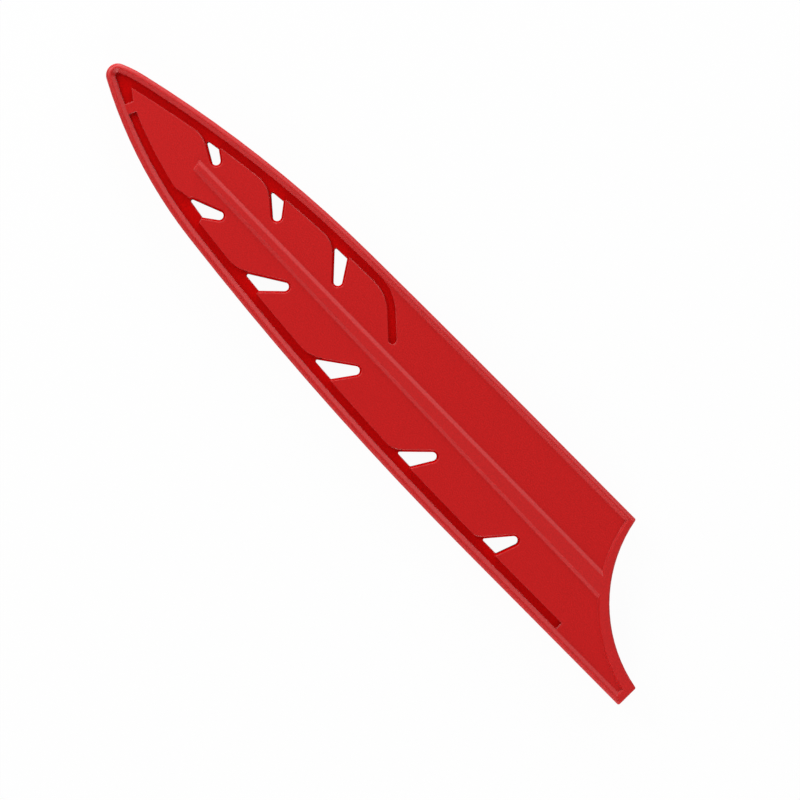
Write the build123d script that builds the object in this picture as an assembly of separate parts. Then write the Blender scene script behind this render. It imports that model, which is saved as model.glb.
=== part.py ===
from build123d import *
from math import acos, atan2, cos, degrees, radians, sin, sqrt, tan
import os

# Knife blade guard: a flat sheath of two moulded half shells, open at one end.
# Millimetres. +X runs from the closed tip to the open mouth, +Y from the cutting
# edge to the spine and +Z from the back face to the front face. The origin is the
# middle of the footprint, on the back face.

# Outline of the guard, seen on its face
length = 218.0
width = 38.5
nose_radius = 3.2
least_nose = 0.3             # nose radius kept where lines run far inside the outline
crown_radius = 4660.0        # arcs of the spine side, from its straight to the nose
front_radius = 349.0
brow_radius = 33.5
edge_radius = 952.0          # arcs of the cutting side, from its straight to the nose
belly_radius = 130.0
mouth_radius = 39.5
mouth_setback = 32.1         # spine corner back from the heel end
heel_height = 6.6            # straight end of the heel
corner_radius = 0.5          # corners of the mouth, seen on the face

# Distance from the middle line of the nose centre, and of the places where each
# following arc of a side begins, as shares of half the width
nose_share = 0.2286
front_share = 0.9795
brow_share = 0.4871
belly_share = 0.6633

# Heights of one shell, from the parting plane outwards
slot_gap = 2.8               # whole height of the blade slot
wall = 1.9                   # panel thickness over the slot
rim_height = 0.7             # rim and rib above the panel
groove_depth = 0.9           # grooves below the panel

# Rim round the face
rim_width = 2.4
rim_slope = 1.05             # width of the sloping sides of rim and rib
rim_round = 1.25             # rounding of the outer edge
heel_rim = 2.5
mouth_rim_radius = 40.5
mouth_rim_spine = 2.15       # rim of the mouth, measured along X at the spine
mouth_rim_slope = 0.5        # width of its steeper inner side
recess_heel = 1.15           # straight end of the recess at the heel

# Centre rib
rib_start = 34.9             # from the tip
rib_start_slant = 0.7        # lower corner of the start behind the upper one
rib_start_ramp = 0.6
rib_start_width = 3.2
rib_end_width = 6.55         # carried on to the heel end
rib_start_height = 4.0       # upper foot of the rib above the middle line
rib_end_height = 3.15
rib_sag = 0.24               # bow of both sides towards the cutting edge

# Grooves beside the rim
groove_width = 2.3
bridge_place = 11.9          # from the tip, the land between the two grooves
bridge_width = 2.8
panel_tip = 8.3              # from the tip to the pointed end of the panel
hook_start = 90.9            # from the tip
hook_radius = 13.4
hook_turn = 42.0             # degrees
hook_straight = 7.6
edge_groove_end = 191.7      # from the tip

# Vents, which go through both shells
vent_opening = 5.0
vent_run = 8.0
vent_reach = 6.0
vent_gap = 0.6               # from the groove to the outer side of a vent
vent_end_radius = 1.2
vent_corner = 0.4
vent_bevel = 0.6
vent_exit = 0.15             # groove wall behind a vent, past the vent's corner
shoulder_radius = 8.0
shoulder_bite = 0.05         # how far a shoulder starts inside the groove

# Place along the length, then opening, run, reach, gap and shoulder of each vent,
# as shares of length, vent_opening, vent_run, vent_reach, vent_gap, shoulder_radius
spine_vent_shares = [
    (0.1506, 0.75, 0.655, 0.37, 0.70, 1.00),
    (0.2507, 0.83, 0.70, 0.63, 1.10, 1.05),
    (0.3547, 0.88, 0.85, 1.00, 1.00, 0.90),
]
edge_vent_shares = [
    (0.1866, 1.18, 1.05, 0.44, 2.50, 0.70),
    (0.3004, 1.14, 1.19, 0.86, 1.65, 1.20),
    (0.4357, 1.32, 1.18, 0.985, 0.60, 1.30),
    (0.5881, 1.02, 0.90, 1.00, 0.55, 0.80),
    (0.7377, 1.06, 0.75, 0.97, 1.00, 0.50),
]

# Seam between the shells and the blade slot inside it
seam_width = 3.2             # joined land from the outline to the blade slot
tongue_width = 1.0
tongue_height = 0.8
tongue_clearance = 0.08
tongue_setback = 4.0         # the tongue stops short of the mouth
seam_chamfer = 0.2
mouth_lead = 0.6             # lead-in chamfer of the blade slot
mouth_edge = 0.3             # chamfer of the mouth's outer edge
overrun = 5.0                # cuts run this far past the part

# Levels of one shell above the parting plane, and the ends of the guard
slot_level = slot_gap / 2
panel_level = slot_level + wall
crest_level = panel_level + rim_height
groove_level = panel_level - groove_depth
tip_x = -length / 2
heel_x = length / 2
nose = Vector(tip_x + nose_radius, nose_share * width / 2)

# The two sides of the guard
SPINE = "spine"
EDGE = "edge"


def sign(side):
    """Sign of Y on a side."""
    return 1 if side == SPINE else -1


def arc(centre, radius, start, end):
    """Arc of less than half a turn between two directions seen from its centre."""
    first = (start - centre).normalized()
    last = (end - centre).normalized()
    middle = (first + last).normalized()
    return ThreePointArc(centre + first * radius, centre + middle * radius, centre + last * radius)


def centre_through(start, end, radius):
    """Centre of an arc through two points, on the side of the mouth's opening."""
    chord = end - start
    height = sqrt(radius ** 2 - (chord.length / 2) ** 2)
    across = Vector(chord.Y, -chord.X).normalized()
    return (start + end) / 2 + across * height


def arc_chain(side, radii, shares):
    """Arcs from a side's straight to the nose: centre, radius and first direction."""
    centre = Vector(0, width / 2 - radii[0])
    lean = 0
    steps = [(centre, lean)]
    for wide, tight, share in zip(radii, radii[1:], shares):
        lean = acos((share * width / 2 - centre.Y) / wide)
        centre += Vector(-sin(lean), cos(lean)) * (wide - tight)
        steps.append((centre, lean))
    rise = sign(side) * nose.Y - centre.Y
    shift = nose.X + sqrt((radii[-1] - nose_radius) ** 2 - rise ** 2) - centre.X
    chain = []
    for radius, (centre, lean) in zip(radii, steps):
        first = Vector(-sin(lean), sign(side) * cos(lean))
        chain.append((Vector(centre.X + shift, sign(side) * centre.Y), radius, first))
    return chain


chains = {
    SPINE: arc_chain(SPINE, [crown_radius, front_radius, brow_radius], [front_share, brow_share]),
    EDGE: arc_chain(EDGE, [edge_radius, belly_radius], [belly_share]),
}


def side_point(place, inset, side):
    """Point of a side, moved inwards, at a place along the length, and its normal."""
    point = Vector(place, sign(side) * (width / 2 - inset))
    normal = Vector(0, sign(side))
    for centre, radius, first in chains[side]:
        reach = radius - inset
        if place < (centre + first * reach).X:
            square = reach ** 2 - (place - centre.X) ** 2
            point = Vector(place, centre.Y + sign(side) * sqrt(max(square, 0)))
            normal = (point - centre).normalized()
    return point, normal


def side_height(place, inset, side):
    """Height of a side, moved inwards, at a place along the length."""
    return side_point(place, inset, side)[0].Y


def nose_circle(inset):
    """Centre and radius of the nose when the outline is moved inwards."""
    if nose_radius - inset > least_nose:
        return nose, nose_radius - inset
    depth = inset + least_nose
    closed_x = tip_x
    open_x = heel_x
    for _ in range(60):
        place = (closed_x + open_x) / 2
        if side_height(place, depth, SPINE) > side_height(place, depth, EDGE):
            open_x = place
        else:
            closed_x = place
    return Vector(open_x, side_height(open_x, depth, SPINE)), least_nose


def side_arcs(inset, side):
    """Start, end, centre and radius of each arc of a side, moved inwards."""
    nose_centre, nose_left = nose_circle(inset)
    depth = inset + nose_left
    kept = [step for step in chains[side] if (step[0] + step[2] * (step[1] - depth)).X > nose_centre.X]
    ends = [first for _, _, first in kept[1:]]
    ends.append((nose_centre - kept[-1][0]).normalized())
    arcs = []
    for (centre, radius, first), last in zip(kept, ends):
        reach = radius - inset
        arcs.append((centre + first * reach, centre + last * reach, centre, reach))
    return arcs


def closed_side(inset):
    """Edges from the spine round the nose to the cutting edge, moved inwards."""
    upper = side_arcs(inset, SPINE)
    lower = side_arcs(inset, EDGE)
    nose_centre, nose_left = nose_circle(inset)
    edges = [arc(centre, reach, start, end) for start, end, centre, reach in upper]
    edges.append(arc(nose_centre, nose_left, upper[-1][1], lower[-1][1]))
    edges += [arc(centre, reach, end, start) for start, end, centre, reach in reversed(lower)]
    return edges


def long_face(inset, end_x):
    """The guard's outline moved inwards, with a straight end instead of a mouth."""
    top_end = Vector(end_x, width / 2 - inset)
    low_end = Vector(end_x, inset - width / 2)
    sides = closed_side(inset)
    rest = [Line(sides[-1] @ 1, low_end), Line(low_end, top_end)]
    return make_face(Wire([Line(top_end, sides[0] @ 0), *sides, *rest]))


def mouth_face(inset, end_x, centre, radius):
    """The guard's outline moved inwards, with its hollow mouth arc."""
    top_y = width / 2 - inset
    top_end = Vector(centre.X - sqrt(radius ** 2 - (centre.Y - top_y) ** 2), top_y)
    low_end = Vector(end_x, inset - width / 2)
    heel_end = Vector(end_x, centre.Y - sqrt(radius ** 2 - (centre.X - end_x) ** 2))
    sides = closed_side(inset)
    rest = [
        Line(sides[-1] @ 1, low_end),
        Line(low_end, heel_end),
        arc(centre, radius, heel_end, top_end),
    ]
    return make_face(Wire([Line(top_end, sides[0] @ 0), *sides, *rest]))


mouth_centre = centre_through(
    Vector(heel_x, heel_height - width / 2),
    Vector(heel_x - mouth_setback, width / 2),
    mouth_radius,
)


def mouth_x(height):
    """Place of the mouth arc at a height above the middle line."""
    return mouth_centre.X - sqrt(mouth_radius ** 2 - (mouth_centre.Y - height) ** 2)


def shell_blank():
    """One shell with its rounded outer edge, before anything is cut into it."""
    block = extrude(long_face(0, heel_x + overrun), crest_level)
    top_edges = block.edges().group_by(Axis.Z)[-1]
    block = fillet(top_edges.filter_by(lambda edge: edge.center().X < heel_x), rim_round)
    outline = mouth_face(0, heel_x, mouth_centre, mouth_radius)
    corners = outline.vertices().sort_by(Axis.X)[-3:]
    block &= extrude(fillet(corners, corner_radius), crest_level)
    return chamfer(block.edges().group_by(Axis.Z)[0], seam_chamfer)


def rib_outline(start, inset):
    """Outline of the rib from its slanted start to the heel end, moved inwards."""
    corners = [
        Vector(start, rib_start_height - inset),
        Vector(start + rib_start_slant, rib_start_height - rib_start_width + inset),
        Vector(heel_x, rib_end_height - rib_end_width + inset),
        Vector(heel_x, rib_end_height - inset),
    ]
    low = ThreePointArc(corners[1], (corners[1] + corners[2]) / 2 - Vector(0, rib_sag), corners[2])
    high = ThreePointArc(corners[3], (corners[3] + corners[0]) / 2 - Vector(0, rib_sag), corners[0])
    return make_face(Wire([Line(corners[0], corners[1]), low, Line(corners[2], corners[3]), high]))


def rib():
    """Centre rib, widening from its ramp near the tip to the rim of the mouth."""
    start = tip_x + rib_start
    low = Pos(0, 0, panel_level) * rib_outline(start, 0)
    high = Pos(0, 0, crest_level) * rib_outline(start + rib_start_ramp, rim_slope)
    return loft([low, high], ruled=True)


def field():
    """Recess inside the rim, down to the panel, with the rib left standing."""
    end_x = heel_x - heel_rim
    top_y = width / 2 - rim_width
    centre = centre_through(
        Vector(end_x, rim_width + recess_heel - width / 2),
        Vector(mouth_x(top_y) - mouth_rim_spine, top_y),
        mouth_rim_radius,
    )
    low = mouth_face(rim_width, end_x, centre, mouth_rim_radius)
    high = mouth_face(
        rim_width - rim_slope,
        end_x + mouth_rim_slope,
        centre,
        mouth_rim_radius - mouth_rim_slope,
    )
    levels = [Pos(0, 0, panel_level) * low, Pos(0, 0, crest_level) * high]
    return loft(levels, ruled=True) - rib()


def bridge():
    """Land between the two grooves, square to the cutting side near the tip."""
    middle, normal = side_point(tip_x + bridge_place, rim_width + groove_width / 2, EDGE)
    turn = degrees(atan2(normal.Y, normal.X))
    return Pos(middle.X, middle.Y) * Rot(0, 0, turn) * Rectangle(2 * groove_width, bridge_width)


def tip_pocket():
    """Wider floor of the first groove in front of the pointed end of the panel."""
    inner = rim_width + groove_width
    middle = rim_width + groove_width / 2
    point_x = tip_x + panel_tip
    land_x = tip_x + bridge_place
    corners = Polyline(
        (point_x, side_height(point_x, middle, SPINE)),
        (point_x, side_height(point_x, inner, SPINE)),
        (land_x, side_height(land_x, inner, EDGE)),
        (land_x, side_height(land_x, middle, EDGE)),
        (tip_x + middle, nose.Y),
        close=True,
    )
    return make_face(corners)


def hook():
    """Inward end of the spine groove: an arc, a straight run and a round end."""
    half_width = groove_width / 2
    start, normal = side_point(tip_x + hook_start, rim_width + half_width, SPINE)
    centre = start - normal * hook_radius
    turn = radians(hook_turn) - atan2(normal.X, normal.Y)
    out = Vector(sin(turn), cos(turn))
    ahead = Vector(cos(turn), -sin(turn))
    end = centre + out * hook_radius + ahead * hook_straight
    outer = arc(centre, hook_radius + half_width, start, centre + out)
    inner = arc(centre, hook_radius - half_width, centre + out, start)
    tip = ThreePointArc(end + out * half_width, end + ahead * half_width, end - out * half_width)
    edges = [
        outer,
        Line(outer @ 1, tip @ 0),
        tip,
        Line(tip @ 1, inner @ 0),
        inner,
        Line(inner @ 1, outer @ 0),
    ]
    return make_face(Wire(edges))


def hull_edges(circles):
    """Straights and arcs pulled tight round circles given anticlockwise."""
    straights = []
    for first, second in zip(circles, circles[1:] + circles[:1]):
        along = second[0] - first[0]
        unit = along.normalized()
        rise = (first[1] - second[1]) / along.length
        out = unit * rise + Vector(unit.Y, -unit.X) * sqrt(1 - rise ** 2)
        straights.append(Line(first[0] + out * first[1], second[0] + out * second[1]))
    edges = []
    for index, line in enumerate(straights):
        following = (index + 1) % len(circles)
        centre, radius = circles[following]
        edges += [line, arc(centre, radius, line @ 1, straights[following] @ 0)]
    return edges


def vent_circles(shares, side, grow):
    """Corner and end circles of a vent, anticlockwise from the leading corner."""
    place_share, opening_share, run_share, reach_share, gap_share, _ = shares
    inset = rim_width + groove_width + vent_gap * gap_share
    start_x = tip_x + length * place_share
    lead_x = start_x + vent_corner
    trail_x = start_x + vent_opening * opening_share - vent_corner
    end_x = start_x + vent_run * run_share
    end_y = side_height(start_x, inset, side) - sign(side) * vent_reach * reach_share
    corner = vent_corner + grow
    lead = (side_point(lead_x, inset + vent_corner, side)[0], corner)
    trail = (side_point(trail_x, inset + vent_corner, side)[0], corner)
    end = (Vector(end_x, end_y), vent_end_radius + grow)
    return [lead, end, trail] if side == SPINE else [lead, trail, end]


def vent_cut(shares, side):
    """Straight hole of a vent with its bevel from the panel to the groove floor."""
    hole = make_face(Wire(hull_edges(vent_circles(shares, side, 0))))
    brim = make_face(Wire(hull_edges(vent_circles(shares, side, vent_bevel))))
    levels = [Pos(0, 0, groove_level) * hole, Pos(0, 0, panel_level) * brim]
    return [Pos(0, 0, -overrun) * extrude(hole, crest_level + overrun), loft(levels, ruled=True)]


def shoulder(shares, side):
    """Groove floor that swings inwards from the groove to a vent's leading edge."""
    circles = vent_circles(shares, side, vent_bevel)
    edges = hull_edges(circles)
    lead = circles[0][0]
    if side == SPINE:
        near, far = edges[0] @ 0, edges[0] @ 1
        trail = circles[2][0]
    else:
        near, far = edges[4] @ 1, edges[4] @ 0
        trail = circles[1][0]
    inner = rim_width + groove_width
    middle = rim_width + groove_width / 2
    radius = shoulder_radius * shares[5]
    back, _ = side_point(near.X - radius, inner - shoulder_bite, side)
    front, _ = side_point(near.X, inner - shoulder_bite, side)
    along = (front - back).normalized()
    down = (far - near).normalized()
    cross = along.X * down.Y - along.Y * down.X
    offset = near - back
    corner = back + along * ((offset.X * down.Y - offset.Y * down.X) / cross)
    reach = radius * tan(abs(atan2(cross, along.dot(down))) / 2)
    start = corner - along * reach
    end = corner + down * reach
    centre = start - Vector(-along.Y, along.X) * sign(side) * radius
    exit_x = trail.X + vent_corner + vent_exit
    path = [
        end,
        lead,
        trail,
        side_point(exit_x, inner, side)[0],
        side_point(exit_x, middle, side)[0],
        side_point(start.X, middle, side)[0],
        start,
    ]
    lines = [Line(first, second) for first, second in zip(path, path[1:])]
    return make_face(Wire([arc(centre, radius, start, end), *lines]))


def beyond(place, side):
    """Cover over one side's groove, from a place along the length to the mouth."""
    start, normal = side_point(place, rim_width + groove_width / 2, side)
    turn = degrees(atan2(-normal.X * sign(side), normal.Y * sign(side)))
    cover = Pos(length / 2, 0) * Rectangle(length, width / 2)
    return Pos(start.X, start.Y) * Rot(0, 0, turn) * cover


def grooves():
    """Floor plan of both grooves, with the hook and the shoulders at the vents."""
    band = long_face(rim_width, heel_x + overrun)
    band -= long_face(rim_width + groove_width, heel_x + 2 * overrun)
    band -= beyond(tip_x + hook_start, SPINE)
    band -= beyond(tip_x + edge_groove_end, EDGE)
    plan = band + tip_pocket() - bridge() + hook()
    for shares in spine_vent_shares:
        plan += shoulder(shares, SPINE)
    for shares in edge_vent_shares:
        plan += shoulder(shares, EDGE)
    return plan


def slot():
    """Blade slot of one shell, open at the mouth, with its lead-in there."""
    room = long_face(seam_width, heel_x + overrun)
    flare_height = slot_level + mouth_lead
    on_base = (Align.CENTER, Align.CENTER, Align.MIN)
    flare = Cone(mouth_radius + flare_height, mouth_radius, flare_height, align=on_base)
    flare = Pos(mouth_centre.X, mouth_centre.Y) * flare
    return extrude(room, slot_level) + (flare & extrude(room, flare_height))


def mouth_break():
    """Small chamfer along the outer edge of the mouth arc."""
    on_base = (Align.CENTER, Align.CENTER, Align.MIN)
    ring = Cone(mouth_radius, mouth_radius + mouth_edge, mouth_edge, align=on_base)
    return Pos(mouth_centre.X, mouth_centre.Y, crest_level - mouth_edge) * ring


def seam(grow):
    """Track of the tongue round the closed sides, stopping short of the mouth."""
    middle = seam_width / 2
    spread = tongue_width / 2 + grow
    low_end = heel_x - tongue_setback + grow
    top_end = mouth_x(width / 2) - tongue_setback + grow
    track = long_face(middle - spread, low_end) - long_face(middle + spread, heel_x + overrun)
    rest = heel_x - top_end
    return track - Pos(heel_x - rest / 2, width / 4) * Rectangle(rest, width / 2)


def half_shell():
    """Either shell, from the parting plane outwards, without its seam."""
    shell = shell_blank() - field()
    shell -= extrude(Pos(0, 0, panel_level) * grooves(), -groove_depth)
    for side, vents in ((SPINE, spine_vent_shares), (EDGE, edge_vent_shares)):
        for shares in vents:
            for cut in vent_cut(shares, side):
                shell -= cut
    return shell - slot() - mouth_break()


def front_shell(shell):
    """Front shell, with the groove of the seam in its parting face."""
    return shell - extrude(seam(tongue_clearance), tongue_height + tongue_clearance)


def back_shell(shell):
    """Back shell, mirrored from the front one, with the tongue of the seam."""
    return shell.mirror(Plane.XY) + extrude(seam(0), tongue_height)


shell = half_shell()
pieces = {
    "front_shell": front_shell(shell),
    "back_shell": back_shell(shell),
}
os.makedirs("parts", exist_ok=True)
for name, piece in pieces.items():
    export_step(Pos(0, 0, crest_level) * piece, f"parts/{name}.step")
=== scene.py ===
from math import cos, radians, sin

import bpy
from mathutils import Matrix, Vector


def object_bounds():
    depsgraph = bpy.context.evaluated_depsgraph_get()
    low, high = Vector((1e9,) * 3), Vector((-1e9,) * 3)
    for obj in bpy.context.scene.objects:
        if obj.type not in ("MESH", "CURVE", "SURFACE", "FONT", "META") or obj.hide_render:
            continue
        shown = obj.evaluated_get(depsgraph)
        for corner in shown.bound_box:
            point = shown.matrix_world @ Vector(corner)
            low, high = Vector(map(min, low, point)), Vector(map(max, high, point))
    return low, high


# Knife blade guard, lying on a white table in soft light. Metres.
MM = 0.001

# Where the guard lies in the photograph
PHOTO_PIXELS = 800
GUARD_PIXEL = Vector((383.5, 366.5))     # middle of the guard
PIXEL = 0.26879 * MM                     # one pixel on the guard
GUARD_TURN = radians(45.25)              # from the picture's right down to the mouth

# Camera
LENS_MM = 200
SENSOR_MM = 36
EYE_LEVEL = 6 * MM                       # height at which a pixel has its size

# Plastic
RED = (0.52, 0.0015, 0.0015)
EDGE_RADIUS = 0.32 * MM                  # soft moulded edges
EDGE_RAYS = 8
GRAIN_SCALE = 2600
GRAIN_DETAIL = 2
GRAIN_DEPTH = 0.1 * MM
GRAIN_STRENGTH = 0.5
GRAIN_LOW, GRAIN_HIGH = 0.35, 0.65       # range of the grain that the mottle follows
MOTTLE = 0.09                            # share by which the red swings
GROOVE_ROUGHNESS = 0.2
PANEL_ROUGHNESS = 0.45
CREST_EXTRA = 0.08                       # roughness that the crests add

# Table
TABLE_SIZE = 4
TABLE_GAP = 0.05 * MM
TABLE_GREY = 0.8
TABLE_WHITE = 0.96                       # share of plain white in what the camera sees

# Soft boxes: azimuth and elevation in degrees, power in watts
BOX_SIZE = 0.45
BOX_DISTANCE = 0.9
SOFT_BOXES = [
    (135, 12, 5.7),
    (180, 32, 4.8),
    (225, 32, 0.9),
    (315, 12, 3.4),
    (315, 32, 2.2),
    (90, 30, 1.9),
    (0, 32, 1.5),
    (270, 12, 1.1),
    (90, 50, 0.9),
]
ROOM_LIGHT = 0.02                        # of the room on the guard

# Levels of the relief, from the parting plane of the two shells
PARTING = 4 * MM
GROOVE_FLOOR = 2.4 * MM
PANEL = 3.3 * MM
CREST = 4 * MM
LEVEL_STEP = 0.1 * MM

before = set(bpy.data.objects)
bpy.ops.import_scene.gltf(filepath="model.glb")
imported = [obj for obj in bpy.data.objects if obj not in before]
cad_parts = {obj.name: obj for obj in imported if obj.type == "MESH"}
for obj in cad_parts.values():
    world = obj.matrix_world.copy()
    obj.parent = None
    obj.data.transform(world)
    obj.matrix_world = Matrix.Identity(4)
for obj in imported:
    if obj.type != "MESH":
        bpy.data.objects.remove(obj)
cad_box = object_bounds()


def nodes_of(material):
    """Node tree of a material or world, emptied."""
    material.use_nodes = True
    material.node_tree.nodes.clear()
    return material.node_tree.nodes, material.node_tree.links


def add_node(nodes, kind, **settings):
    """A node with the given properties."""
    node = nodes.new(kind)
    for name, value in settings.items():
        setattr(node, name, value)
    return node


def height_band(nodes, links, height, start, end):
    """Value that rises from 0 to 1 between two heights above the parting plane."""
    band = add_node(nodes, "ShaderNodeMapRange")
    band.inputs["From Min"].default_value = start
    band.inputs["From Max"].default_value = end
    links.new(height, band.inputs["Value"])
    return band.outputs["Result"]


def multiply(nodes, links, first, second):
    """Product of two values."""
    product = add_node(nodes, "ShaderNodeMath", operation="MULTIPLY")
    links.new(first, product.inputs[0])
    links.new(second, product.inputs[1])
    return product.outputs[0]


def red_plastic():
    """Satin red moulding: grained panels and crests, smooth slopes, glossier grooves."""
    material = bpy.data.materials.new("satin_red_plastic")
    nodes, links = nodes_of(material)
    place = add_node(nodes, "ShaderNodeTexCoord")
    split = add_node(nodes, "ShaderNodeSeparateXYZ")
    links.new(place.outputs["Object"], split.inputs[0])
    above = add_node(nodes, "ShaderNodeMath", operation="SUBTRACT")
    above.inputs[1].default_value = PARTING
    links.new(split.outputs["Z"], above.inputs[0])
    level = add_node(nodes, "ShaderNodeMath", operation="ABSOLUTE")
    links.new(above.outputs[0], level.inputs[0])
    height = level.outputs[0]
    out_of_groove = height_band(nodes, links, height, (GROOVE_FLOOR + PANEL) / 2, PANEL)
    on_panel = height_band(nodes, links, height, PANEL + LEVEL_STEP, PANEL)
    on_crest = height_band(nodes, links, height, CREST - LEVEL_STEP, CREST)
    flats = add_node(nodes, "ShaderNodeMath", operation="ADD")
    links.new(multiply(nodes, links, out_of_groove, on_panel), flats.inputs[0])
    links.new(on_crest, flats.inputs[1])

    grain = add_node(nodes, "ShaderNodeTexNoise")
    grain.inputs["Scale"].default_value = GRAIN_SCALE
    grain.inputs["Detail"].default_value = GRAIN_DETAIL
    links.new(place.outputs["Object"], grain.inputs["Vector"])
    edge = add_node(nodes, "ShaderNodeBevel", samples=EDGE_RAYS)
    edge.inputs["Radius"].default_value = EDGE_RADIUS
    bump = add_node(nodes, "ShaderNodeBump")
    bump.inputs["Strength"].default_value = GRAIN_STRENGTH
    bump.inputs["Distance"].default_value = GRAIN_DEPTH
    links.new(multiply(nodes, links, grain.outputs["Fac"], flats.outputs[0]), bump.inputs["Height"])
    links.new(edge.outputs[0], bump.inputs["Normal"])

    roughness = add_node(nodes, "ShaderNodeMapRange")
    roughness.inputs["To Min"].default_value = GROOVE_ROUGHNESS
    roughness.inputs["To Max"].default_value = PANEL_ROUGHNESS
    links.new(out_of_groove, roughness.inputs["Value"])
    crest_roughness = add_node(nodes, "ShaderNodeMath", operation="MULTIPLY_ADD")
    crest_roughness.inputs[1].default_value = CREST_EXTRA
    links.new(on_crest, crest_roughness.inputs[0])
    links.new(roughness.outputs["Result"], crest_roughness.inputs[2])

    swing = add_node(nodes, "ShaderNodeMapRange")
    swing.inputs["From Min"].default_value = GRAIN_LOW
    swing.inputs["From Max"].default_value = GRAIN_HIGH
    swing.inputs["To Min"].default_value = 1 - MOTTLE
    swing.inputs["To Max"].default_value = 1 + MOTTLE
    links.new(grain.outputs["Fac"], swing.inputs["Value"])
    tinted = add_node(nodes, "ShaderNodeVectorMath", operation="SCALE")
    tinted.inputs[0].default_value = RED
    links.new(swing.outputs["Result"], tinted.inputs["Scale"])

    shader = add_node(nodes, "ShaderNodeBsdfPrincipled")
    links.new(tinted.outputs[0], shader.inputs["Base Color"])
    links.new(crest_roughness.outputs[0], shader.inputs["Roughness"])
    links.new(bump.outputs["Normal"], shader.inputs["Normal"])
    out = add_node(nodes, "ShaderNodeOutputMaterial")
    links.new(shader.outputs[0], out.inputs["Surface"])
    return material


def dress_shells():
    """Gives both shells their plastic."""
    material = red_plastic()
    for name in ("front_shell", "back_shell"):
        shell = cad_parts[name]
        shell.data.materials.clear()
        shell.data.materials.append(material)


def white_table():
    """White table that keeps a soft shadow and meets a white picture edge."""
    bpy.ops.object.select_all(action="DESELECT")
    bpy.ops.mesh.primitive_plane_add(size=TABLE_SIZE, location=(0, 0, cad_box[0].z - TABLE_GAP))
    table = bpy.context.object
    table.name = "table"
    material = bpy.data.materials.new("white_table")
    nodes, links = nodes_of(material)
    seen = add_node(nodes, "ShaderNodeLightPath")
    paint = add_node(nodes, "ShaderNodeBsdfDiffuse")
    paint.inputs["Color"].default_value = (TABLE_GREY, TABLE_GREY, TABLE_GREY, 1)
    glow = add_node(nodes, "ShaderNodeEmission")
    share = add_node(nodes, "ShaderNodeMath", operation="MULTIPLY")
    share.inputs[1].default_value = TABLE_WHITE
    links.new(seen.outputs["Is Camera Ray"], share.inputs[0])
    blend = add_node(nodes, "ShaderNodeMixShader")
    links.new(share.outputs[0], blend.inputs["Fac"])
    links.new(paint.outputs[0], blend.inputs[1])
    links.new(glow.outputs[0], blend.inputs[2])
    out = add_node(nodes, "ShaderNodeOutputMaterial")
    links.new(blend.outputs[0], out.inputs["Surface"])
    table.data.materials.append(material)


def soft_box(azimuth, elevation, power):
    """Square soft box aimed at the guard; azimuth counts from +X towards +Y."""
    around = radians(azimuth)
    rise = radians(elevation)
    away = Vector((cos(around) * cos(rise), sin(around) * cos(rise), sin(rise)))
    light = bpy.data.lights.new("soft_box", "AREA")
    light.size = BOX_SIZE
    light.energy = power
    lamp = bpy.data.objects.new("soft_box", light)
    lamp.location = away * BOX_DISTANCE
    lamp.rotation_euler = away.to_track_quat("Z", "Y").to_euler()
    lamp.visible_camera = False
    bpy.context.scene.collection.objects.link(lamp)


def studio():
    """Soft boxes round the guard, in a room that is white only to the camera."""
    for azimuth, elevation, power in SOFT_BOXES:
        soft_box(azimuth, elevation, power)
    world = bpy.data.worlds.new("room")
    bpy.context.scene.world = world
    nodes, links = nodes_of(world)
    seen = add_node(nodes, "ShaderNodeLightPath")
    strength = add_node(nodes, "ShaderNodeMapRange")
    strength.inputs["To Min"].default_value = ROOM_LIGHT
    strength.inputs["To Max"].default_value = 1
    links.new(seen.outputs["Is Camera Ray"], strength.inputs["Value"])
    back = add_node(nodes, "ShaderNodeBackground")
    back.inputs["Color"].default_value = (1, 1, 1, 1)
    links.new(strength.outputs["Result"], back.inputs["Strength"])
    out = add_node(nodes, "ShaderNodeOutputWorld")
    links.new(back.outputs[0], out.inputs["Surface"])


def photo_camera():
    """Camera straight above the guard, with the photograph's turn and framing."""
    right = Vector((cos(GUARD_TURN), sin(GUARD_TURN), 0))
    up = Vector((-sin(GUARD_TURN), cos(GUARD_TURN), 0))
    offset = (Vector((PHOTO_PIXELS / 2, PHOTO_PIXELS / 2)) - GUARD_PIXEL) * PIXEL
    distance = PHOTO_PIXELS * PIXEL * LENS_MM / SENSOR_MM
    lens = bpy.data.cameras.new("photo_camera")
    lens.lens = LENS_MM
    lens.sensor_width = SENSOR_MM
    camera = bpy.data.objects.new("photo_camera", lens)
    camera.location = right * offset.x - up * offset.y + Vector((0, 0, EYE_LEVEL + distance))
    camera.rotation_euler = (0, 0, GUARD_TURN)
    bpy.context.scene.collection.objects.link(camera)
    bpy.context.scene.camera = camera


dress_shells()
white_table()
studio()
photo_camera()
bpy.context.scene.view_settings.view_transform = "Standard"
